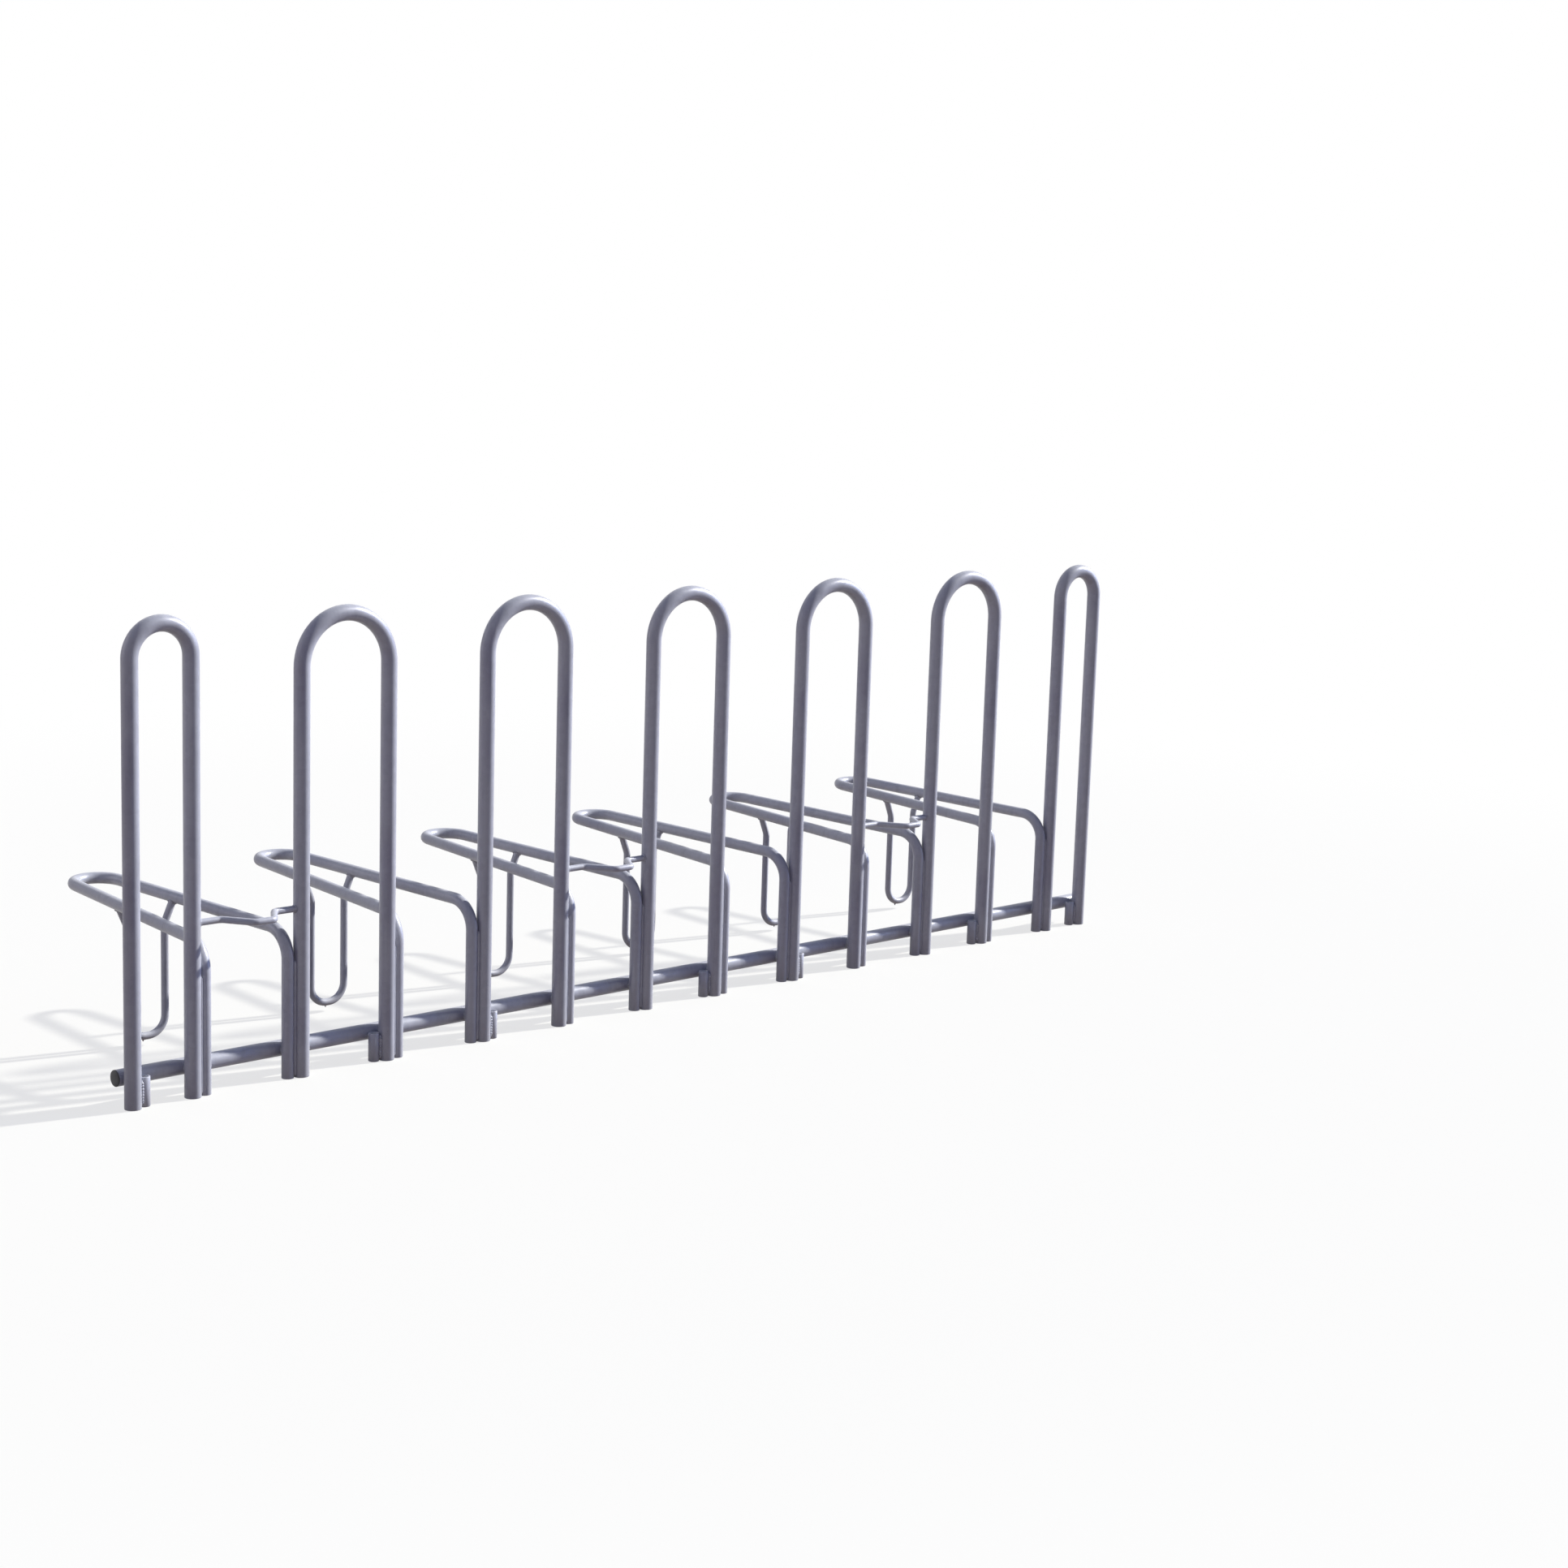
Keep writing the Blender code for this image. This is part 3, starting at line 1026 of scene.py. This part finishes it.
@dataclass
class Hoop:
    """One tall hoop: two legs and a half-round top, open at the ground."""

    plan: RowPlan
    number: int
    height: float = 0.830
    wall: float = 0.0025
    bore_depth: float = 0.060
    bend_step: float = math.radians(4.0)
    sides: int = 36

    def line(self) -> list[Vector]:
        """The centre line, up one leg and down the other.

        Returns:
            The points.
        """
        left, right = self.plan.legs(self.number)
        y = self.plan.leg_y
        top = self.height - self.plan.hoop_radius
        half = (right - left) / 2
        corners = ((left, y, 0), (left, y, top), (right, y, top), (right, y, 0))
        return rounded(corners, (half, half), self.bend_step)

    def build(self, shop: Workshop) -> bpy.types.Object:
        """Make the hoop.

        Args:
            shop: Makes and dresses the piece.

        Returns:
            The piece.
        """
        mesh = bmesh.new()
        rings = hollow(self.line(), self.plan.hoop_radius, self.wall, self.bore_depth)
        skin(mesh, rings, self.sides)
        node = f"hoop_{self.number}"
        return shop.piece(f"{node}_tube", mesh, Finish.ZINC, node)


@dataclass
class WheelLoop:
    """One low wheel loop: two legs, two arms that run back and close in, and a hairpin tip."""

    plan: RowPlan
    number: int
    radius: float = 0.011
    wall: float = 0.0020
    shoulder_height: float = 0.264
    tip_height: float = 0.275
    shoulder_radius: float = 0.053
    setback: float = 0.548
    tip_width: float = 0.082
    bore_depth: float = 0.050
    bend_step: float = math.radians(5.0)
    sides: int = 32

    @property
    def leg(self) -> float:
        """Half the spacing of the legs."""
        return self.plan.wheel_gap / 2 - self.plan.nook(self.radius)[0]

    @property
    def leg_y(self) -> float:
        """Place of the legs."""
        return self.plan.nook(self.radius)[1]

    @property
    def tip_y(self) -> float:
        """Place of the tip's centre line."""
        return self.plan.leg_y + self.setback

    def pairs(self) -> list[tuple[Vector, Vector]]:
        """The foot of the hoop leg on each side of the bay, with the loop's foot beside it.

        Returns:
            The left pair and the right one.
        """
        x = self.plan.bay(self.number)
        gap = self.plan.wheel_gap / 2
        legs = [Vector((x + side * gap, self.plan.leg_y, 0)) for side in (-1, 1)]
        feet = [Vector((x + side * self.leg, self.leg_y, 0)) for side in (-1, 1)]
        return list(zip(legs, feet))

    def line(self) -> list[Vector]:
        """The centre line, from the left foot to the right one.

        Returns:
            The points.
        """
        tip = self.tip_width / 2
        taper = math.atan2(self.leg - tip, self.tip_y - self.leg_y)
        bend = tip * math.tan((math.pi / 2 + taper) / 2)
        left, right = (foot for _, foot in self.pairs())
        corners = (left, *self.arm(-1), *reversed(self.arm(1)), right)
        radii = (self.shoulder_radius, bend, bend, self.shoulder_radius)
        return rounded(corners, radii, self.bend_step)

    def arm(self, side: int) -> tuple[Vector, Vector]:
        """One arm as a straight line.

        Args:
            side: -1 for the left arm, 1 for the right one.

        Returns:
            The arm's point above the leg, and its point at the tip.
        """
        x = self.plan.bay(self.number)
        near = Vector((x + side * self.leg, self.leg_y, self.shoulder_height))
        far = Vector((x + side * self.tip_width / 2, self.tip_y, self.tip_height))
        return near, far

    def build(self, shop: Workshop) -> bpy.types.Object:
        """Make the loop.

        Args:
            shop: Makes and dresses the piece.

        Returns:
            The piece.
        """
        mesh = bmesh.new()
        skin(mesh, hollow(self.line(), self.radius, self.wall, self.bore_depth), self.sides)
        node = f"wheel_loop_{self.number}"
        return shop.piece(f"{node}_tube", mesh, Finish.ZINC, node)


@dataclass
class TyreStop:
    """The bar that hangs in a U from a loop's arms, flared out to them at its tops.

    A drop of zinc hangs below it. It starts drop_start radii below the bottom's line, drop_place
    of the way along it, and further by drop_shift or twice as much in other bays.
    """

    loop: WheelLoop
    radius: float = 0.007
    width: float = 0.075
    clearance: float = 0.012
    bottom_radius: float = 0.035
    flare_drop: float = 0.046
    flare_radius: float = 0.024
    weld_size: float = 0.0022
    drop_size: float = 0.0024
    drop_length: float = 0.0056
    drop_start: float = 0.6
    drop_place: float = 0.34
    drop_shift: float = 0.05
    bend_step: float = math.radians(6.0)
    sides: int = 24

    def corners(self) -> list[Vector]:
        """The corner points of the centre line, from arm to arm.

        Returns:
            Six points, from the left.
        """
        near, far = self.loop.arm(1)
        plan = self.loop.plan
        y = plan.leg_y + plan.setbacks[self.loop.number - 1]
        on_arm = near.lerp(far, (y - near.y) / (far.y - near.y))
        x = plan.bay(self.loop.number)
        arm = on_arm.x - x
        leg = self.width / 2
        low = self.clearance + self.radius
        bend = on_arm.z - self.flare_drop
        return mirrored([(arm, y, on_arm.z), (leg, y, bend), (leg, y, low)], x)

    def build(self, shop: Workshop) -> bpy.types.Object:
        """Make the stop.

        Args:
            shop: Makes and dresses the piece.

        Returns:
            The piece.
        """
        corners = self.corners()
        radii = (self.flare_radius, self.bottom_radius, self.bottom_radius, self.flare_radius)
        mesh = bmesh.new()
        skin(mesh, solid(rounded(corners, radii, self.bend_step), self.radius), self.sides)
        place = self.drop_place + self.drop_shift * (self.loop.number % 3)
        start = corners[2].lerp(corners[3], place) + DOWN * self.radius * self.drop_start
        drip(mesh, start, self.drop_size, self.drop_length)
        node = f"tyre_stop_{self.loop.number}"
        return shop.piece(f"{node}_bar", mesh, Finish.ZINC, node)

    def weld(self, mesh: bmesh.types.BMesh) -> None:
        """Weld both tops to the arms.

        Args:
            mesh: Takes the beads.
        """
        corners = self.corners()
        for side, top, bend in ((-1, corners[0], corners[1]), (1, corners[-1], corners[-2])):
            near, far = self.loop.arm(side)
            line = saddle(bend, top - bend, self.radius, top, far - near, self.loop.radius)
            seed = self.loop.number * 2 + side
            Bead(line, self.weld_size, loop=True, seed=seed).lay(mesh)


@dataclass
class CrossBar:
    """The bar across a bay, with a bow in its middle bent out level to the front.

    Its ends lie inside the hoop legs' skin, end_place leg radii from the legs' middle.
    """

    plan: RowPlan
    number: int
    radius: float = 0.006
    height: float = 0.303
    forward: float = 0.053
    flat: float = 0.038
    ramp: float = 0.034
    end_place: float = 0.7
    bend_radius: float = 0.012
    weld_size: float = 0.0019
    bend_step: float = math.radians(6.0)
    sides: int = 24

    def build(self, shop: Workshop) -> bpy.types.Object:
        """Make the bar.

        Args:
            shop: Makes and dresses the piece.

        Returns:
            The piece.
        """
        y = self.plan.leg_y
        flat = self.flat / 2
        ends = self.plan.wheel_gap / 2 - self.plan.hoop_radius * self.end_place
        half = [
            (ends, y, self.height),
            (flat + self.ramp, y, self.height),
            (flat, y - self.forward, self.height),
        ]
        corners = mirrored(half, self.plan.bay(self.number))
        line = rounded(corners, (self.bend_radius,) * 4, self.bend_step)
        mesh = bmesh.new()
        skin(mesh, solid(line, self.radius), self.sides)
        node = f"cross_bar_{self.number}"
        return shop.piece(f"{node}_bar", mesh, Finish.ZINC, node)

    def weld(self, mesh: bmesh.types.BMesh) -> None:
        """Weld both ends to the hoop legs.

        Args:
            mesh: Takes the beads.
        """
        x = self.plan.bay(self.number)
        for side in (-1, 1):
            leg = Vector((x + side * self.plan.wheel_gap / 2, self.plan.leg_y, self.height))
            aim = Vector((side, 0, 0))
            outside = leg - aim * 2 * self.plan.hoop_radius
            line = saddle(outside, aim, self.radius, leg, UP, self.plan.hoop_radius)
            Bead(line, self.weld_size, loop=True, seed=self.number * 5 + side).lay(mesh)


@dataclass
class BaseRail:
    """The straight rail behind all legs, open at both ends for its plugs."""

    plan: RowPlan
    height: float = 0.049
    overhang: float = 0.001
    wall: float = 0.0025
    bore_depth: float = 0.030
    stations: int = 40
    sides: int = 36

    def end(self, side: int) -> Vector:
        """The middle of an end of the rail.

        Args:
            side: -1 for the left end, 1 for the right one.

        Returns:
            The point.
        """
        x = self.plan.length / 2 + self.plan.hoop_radius + self.overhang
        return Vector((side * x, self.plan.rail_y, self.height))

    def front(self, x: float) -> Vector:
        """The foremost point of the rail at a place along the row, where a leg touches it."""
        return Vector((x, self.plan.rail_y - self.plan.rail_radius, self.height))

    def build(self, shop: Workshop) -> bpy.types.Object:
        """Make the rail.

        Args:
            shop: Makes and dresses the piece.

        Returns:
            The piece.
        """
        left, right = self.end(-1), self.end(1)
        line = [left.lerp(right, count / self.stations) for count in range(self.stations + 1)]
        mesh = bmesh.new()
        skin(mesh, hollow(line, self.plan.rail_radius, self.wall, self.bore_depth), self.sides)
        return shop.piece("base_rail_tube", mesh, Finish.ZINC, "base_rail")


@dataclass
class RailPlug:
    """The plastic plug in an end of the rail: a domed head and a ribbed stem.

    The dome's pairs give how far it has sunk and its radius as a share of the rail's.
    """

    rail: BaseRail
    side: int
    head: float = 0.003
    seat: float = 0.0003
    pip: float = 0.0012
    dome: Sequence[tuple[float, float]] = (
        (0.0001, 0.55),
        (0.0005, 0.82),
        (0.0013, 0.96),
        (0.0022, 1.0),
    )
    insert: float = 0.018
    play: float = 0.0006
    ribs: int = 4
    rib_depth: float = 0.0008
    groove_share: float = 0.6
    tip_depth: float = 0.002
    sides: int = 36

    def build(self, shop: Workshop) -> bpy.types.Object:
        """Make the plug.

        Args:
            shop: Makes and dresses the piece.

        Returns:
            The piece.
        """
        end = self.rail.end(self.side)
        out = Vector((self.side, 0, 0))
        radius = self.rail.plan.rail_radius
        stem = radius - self.rail.wall - self.play
        low = stem - self.rib_depth
        face = self.seat + self.head
        profile = [(face, self.pip)]
        profile += [(face - sunk, radius * share) for sunk, share in self.dome]
        profile.append((self.seat, radius))
        for rib in range(self.ribs):
            near = -self.insert * rib / self.ribs
            far = -self.insert * (rib + self.groove_share) / self.ribs
            profile += [(near, low), (far + self.rib_depth, low), (far, stem)]
        profile.append((-self.insert, stem - self.tip_depth))
        mesh = bmesh.new()
        skin(mesh, [Ring(end + out * away, size, out) for away, size in profile], self.sides)
        node = "rail_cap_left" if self.side < 0 else "rail_cap_right"
        return shop.piece(f"{node}_plug", mesh, Finish.PLASTIC, node, sharp=40.0)


@dataclass
class FootSleeve:
    """The short open sleeve beside one leg of a hoop, on its inner side."""

    plan: RowPlan
    number: int
    beside: int
    radius: float = 0.010
    wall: float = 0.0035
    height: float = 0.052
    lip: float = 0.0008
    sides: int = 32

    @property
    def leg(self) -> float:
        """X of the leg that it stands beside."""
        return self.plan.legs(self.number)[0 if self.beside < 0 else 1]

    @property
    def foot(self) -> Vector:
        """The middle of its lower end."""
        offset, y = self.plan.nook(self.radius)
        return Vector((self.leg - self.beside * offset, y, 0))

    @property
    def pair(self) -> tuple[Vector, Vector]:
        """The foot of the leg that it stands beside, and its own."""
        return Vector((self.leg, self.plan.leg_y, 0)), self.foot

    def build(self, shop: Workshop) -> bpy.types.Object:
        """Make the sleeve.

        Args:
            shop: Makes and dresses the piece.

        Returns:
            The piece.
        """
        lip, top, bore = self.lip, self.height, self.radius - self.wall
        profile = [(0.0, self.radius - lip), (lip, self.radius), (top - lip, self.radius)]
        profile += [(top, self.radius - lip), (top, bore + lip), (top - lip, bore)]
        profile += [(lip, bore), (0.0, bore + lip)]
        mesh = bmesh.new()
        rings = [Ring(self.foot + UP * away, size, UP) for away, size in profile]
        skin(mesh, rings, self.sides, loop=True)
        node = f"foot_sleeve_{self.number}"
        return shop.piece(f"{node}_tube", mesh, Finish.ZINC, node, sharp=60.0)


@dataclass
class HoopWelds:
    """One hoop's welds: its legs and its foot sleeve to the rail, and the sleeve to its leg."""

    hoop: Hoop
    rail: BaseRail
    sleeve: FootSleeve
    sleeve_spot: float = 0.006
    sleeve_spot_size: float = 0.0020
    seam_size: float = 0.0036
    seam_ripple: float = 0.0050
    seam_relief: float = 0.14
    seam_proud: float = 0.56
    seam_margin: float = 0.006

    def build(self, shop: Workshop) -> bpy.types.Object:
        """Make the welds.

        Args:
            shop: Makes and dresses the piece.

        Returns:
            The piece.
        """
        plan, sleeve = self.hoop.plan, self.sleeve
        mesh = bmesh.new()
        for index, x in enumerate(plan.legs(self.hoop.number)):
            contact = Contact(self.rail.front(x), plan.hoop_radius, plan.rail_radius)
            contact.ring(self.hoop.number * 2 + index).lay(mesh)
        contact = Contact(
            self.rail.front(sleeve.foot.x),
            sleeve.radius,
            plan.rail_radius,
            self.sleeve_spot,
            self.sleeve_spot_size,
        )
        contact.lower_half(self.hoop.number * 3).lay(mesh)
        radii = (plan.hoop_radius, sleeve.radius)
        span = (self.seam_margin, sleeve.height - self.seam_margin)
        seam = Bead(
            groove(*sleeve.pair, radii, -1, span, self.seam_proud),
            self.seam_size,
            ripple=self.seam_ripple,
            relief=self.seam_relief,
            seed=self.hoop.number * 7,
        )
        seam.lay(mesh)
        return shop.piece(f"hoop_{self.hoop.number}_welds", mesh, Finish.WELD)


@dataclass
class BayWelds:
    """The welds of one bay: loop legs to hoop legs and rail, and the bars to what carries them."""

    loop: WheelLoop
    rail: BaseRail
    stop: TyreStop
    bar: CrossBar | None
    loop_spot: float = 0.006
    stitch_size: float = 0.0027
    stitches: Sequence[tuple[float, float]] = ((0.012, 0.034), (0.186, 0.211))

    def build(self, shop: Workshop) -> bpy.types.Object:
        """Make the welds.

        Args:
            shop: Makes and dresses the piece.

        Returns:
            The piece.
        """
        loop, plan = self.loop, self.loop.plan
        mesh = bmesh.new()
        radii = (plan.hoop_radius, loop.radius)
        for side, (leg, foot) in zip((-1, 1), loop.pairs()):
            front = self.rail.front(foot.x)
            contact = Contact(front, loop.radius, plan.rail_radius, self.loop_spot)
            contact.ring(loop.number * 4 + side).lay(mesh)
            for span in self.stitches:
                # Each stitch's place gives it ripples of its own.
                seed = int(abs(leg.x) * 1000 + span[0] * 7000)
                line = groove(leg, foot, radii, -1, span)
                Bead(line, self.stitch_size, seed=seed).lay(mesh)
        self.stop.weld(mesh)
        if self.bar:
            self.bar.weld(mesh)
        return shop.piece(f"bay_{loop.number}_welds", mesh, Finish.WELD)


@dataclass
class ZincRuns:
    """The smooth zinc that the dip leaves in the grooves between touching upright tubes."""

    loop: WheelLoop
    sleeves: Sequence[FootSleeve]
    foot: float = 0.004
    below_bend: float = 0.002
    size: float = 0.0030
    proud: float = 0.455
    relief: float = 0.015

    def build(self, shop: Workshop) -> bpy.types.Object:
        """Make the runs beside one bay's loop and beside the sleeves given.

        Args:
            shop: Makes and dresses the piece.

        Returns:
            The piece.
        """
        loop = self.loop
        top = loop.shoulder_height - loop.shoulder_radius - self.below_bend
        runs = [(*pair, loop.radius, top) for pair in loop.pairs()]
        runs += [(*each.pair, each.radius, each.height - self.foot) for each in self.sleeves]
        mesh = bmesh.new()
        for leg, foot, radius, high in runs:
            for side in (-1, 1):
                radii = (loop.plan.hoop_radius, radius)
                line = groove(leg, foot, radii, side, (self.foot, high), self.proud)
                Bead(line, self.size, relief=self.relief).lay(mesh)
        return shop.piece(f"bay_{loop.number}_zinc_runs", mesh, Finish.ZINC)


class Part(Protocol):
    """Whatever the workshop can build."""

    def build(self, shop: Workshop) -> bpy.types.Object:
        """Make the part in the workshop."""


@dataclass
class BicycleRack:
    """The whole rack. Each hoop's sleeve stands beside its left leg, -1, or its right one, 1."""

    plan: RowPlan = field(default_factory=RowPlan)
    sleeved: tuple[int, ...] = (-1, 1, -1, 1, -1, 1, 1)

    def parts(self) -> Iterable[Part]:
        """Every sub-assembly, in the order in which it is built.

        Returns:
            The sub-assemblies, one by one.
        """
        rail = BaseRail(self.plan)
        yield rail
        yield RailPlug(rail, -1)
        yield RailPlug(rail, 1)
        sleeves = []
        for number, side in enumerate(self.sleeved, start=1):
            hoop = Hoop(self.plan, number)
            sleeve = FootSleeve(self.plan, number, side)
            sleeves.append(sleeve)
            yield hoop
            yield sleeve
            yield HoopWelds(hoop, rail, sleeve)
        for number in range(1, self.plan.hoops):
            loop = WheelLoop(self.plan, number)
            stop = TyreStop(loop)
            # Only every second bay has a cross bar.
            bar = CrossBar(self.plan, number) if number % 2 else None
            yield loop
            yield stop
            if bar:
                yield bar
            yield BayWelds(loop, rail, stop, bar)
            # A bay's runs take in the sleeve of the hoop on its right, the first bay's both.
            first = 0 if number == 1 else number
            yield ZincRuns(loop, sleeves[first : number + 1])


# The studio


class Lamp(Enum):
    """The kinds of lamp, each with the name of its size setting."""

    FAR = ("SUN", "angle")
    SOFT_BOX = ("AREA", "size")


@dataclass(frozen=True)
class StudioLight:
    """One studio light, aimed at the rack."""

    name: str
    lamp: Lamp
    place: Sequence[float]
    size: float
    power: float
    tint: Colour = (1.0, 1.0, 1.0)
    aim: Sequence[float] = (0.0, 0.0, 0.4)

    def build(self) -> bpy.types.Object:
        """Make the light.

        Returns:
            The light.
        """
        kind, size = self.lamp.value
        data = bpy.data.lights.new(self.name, kind)
        setattr(data, size, self.size)
        data.energy = self.power
        data.color = self.tint
        light = bpy.data.objects.new(self.name, data)
        light.location = self.place
        facing = Vector(self.aim) - Vector(self.place)
        light.rotation_euler = facing.to_track_quat("-Z", "Y").to_euler()
        bpy.context.scene.collection.objects.link(light)
        return light


@dataclass(frozen=True)
class Camera:
    """The photograph's view, as a place, three angles and a focal length in frame widths.

    The yaw turns from +X towards +Y, the pitch looks up and the roll turns the camera's own X
    axis up.
    """

    place: Sequence[float] = (-3.4465, -4.0884, 1.3074)
    yaw: float = math.radians(45.928)
    pitch: float = math.radians(-9.488)
    roll: float = math.radians(1.870)
    focal: float = 3277.95 / 1932
    sensor: float = 36.0

    def build(self) -> bpy.types.Object:
        """Make the camera and make it the scene's.

        Returns:
            The camera.
        """
        data = bpy.data.cameras.new("camera")
        data.sensor_width = self.sensor
        data.lens = self.focal * self.sensor
        camera = bpy.data.objects.new("camera", data)
        quarter = math.pi / 2
        turn = Matrix.Rotation(self.yaw - quarter, 4, "Z")
        turn @= Matrix.Rotation(self.pitch + quarter, 4, "X")
        turn @= Matrix.Rotation(self.roll, 4, "Z")
        camera.matrix_world = Matrix.Translation(self.place) @ turn
        bpy.context.scene.collection.objects.link(camera)
        bpy.context.scene.camera = camera
        return camera


@dataclass(frozen=True)
class Studio:
    """A pale paper floor, far and soft lights, and surroundings that look white."""

    floor_size: float = 120.0
    surround: Colour = (0.28, 0.40, 1.00)
    level: float = 0.19

    def floor(self) -> bpy.types.Object:
        """Lay the floor.

        Returns:
            The floor.
        """
        mesh = bmesh.new()
        bmesh.ops.create_grid(mesh, x_segments=4, y_segments=4, size=self.floor_size / 2)
        data = bpy.data.meshes.new("floor")
        mesh.to_mesh(data)
        mesh.free()
        data.materials.append(StudioPaper().material())
        floor = bpy.data.objects.new("floor", data)
        bpy.context.scene.collection.objects.link(floor)
        return floor

    def surroundings(self) -> bpy.types.World:
        """Blue light from all round, white where the lens or the metal sees it.

        Returns:
            The world.
        """
        world = bpy.data.worlds.new("surroundings")
        bpy.context.scene.world = world
        board = NodeBoard(world)
        inputs = {"Color": (*self.surround, 1.0), "Strength": self.level}
        lit = board.node("ShaderNodeBackground", {}, inputs)
        white = board.node("ShaderNodeBackground", {}, {"Color": WHITE})
        return board.close(board.blend(board.seen(), lit, white))

    def lights(self) -> list[StudioLight]:
        """A small far key on the right, a wide blue light below it, and weak ones behind.

        Returns:
            The lights.
        """
        narrow, wide = math.radians(2), math.radians(30)
        blue, warm, cool = (0.36, 0.50, 1.0), (1.0, 0.95, 0.98), (0.95, 0.96, 1.0)
        return [
            StudioLight("key_light", Lamp.FAR, (6.55, -1.63, 4.70), narrow, 4.9),
            StudioLight("side_light", Lamp.FAR, (6.00, -1.95, 1.80), wide, 0.95, blue),
            StudioLight("fill_light", Lamp.SOFT_BOX, (-5.2, 2.6, 2.2), 4.0, 38.0, warm),
            StudioLight("back_light", Lamp.SOFT_BOX, (0.5, 5.0, 4.5), 4.0, 20.0, cool),
        ]

    def build(self) -> None:
        """Set up floor, lights, surroundings and camera."""
        self.floor()
        self.surroundings()
        for light in self.lights():
            light.build()
        Camera().build()
        bpy.context.scene.view_settings.view_transform = "Standard"


def main() -> None:
    """Load the frame, build and dress the rack, and set up the studio round it."""
    logging.basicConfig(level=logging.INFO, format="%(name)s: %(message)s")
    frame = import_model()
    LOG.info("%d packed nodes", len(frame["nodes"]))
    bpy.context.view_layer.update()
    shop = Workshop(Paintbox())
    for part in BicycleRack().parts():
        made = part.build(shop)
        LOG.info("built %s with %d faces", made.name, len(made.data.polygons))
    LOG.info("%d pieces", shop.count)
    Studio().build()


if __name__ == "__main__":
    main()
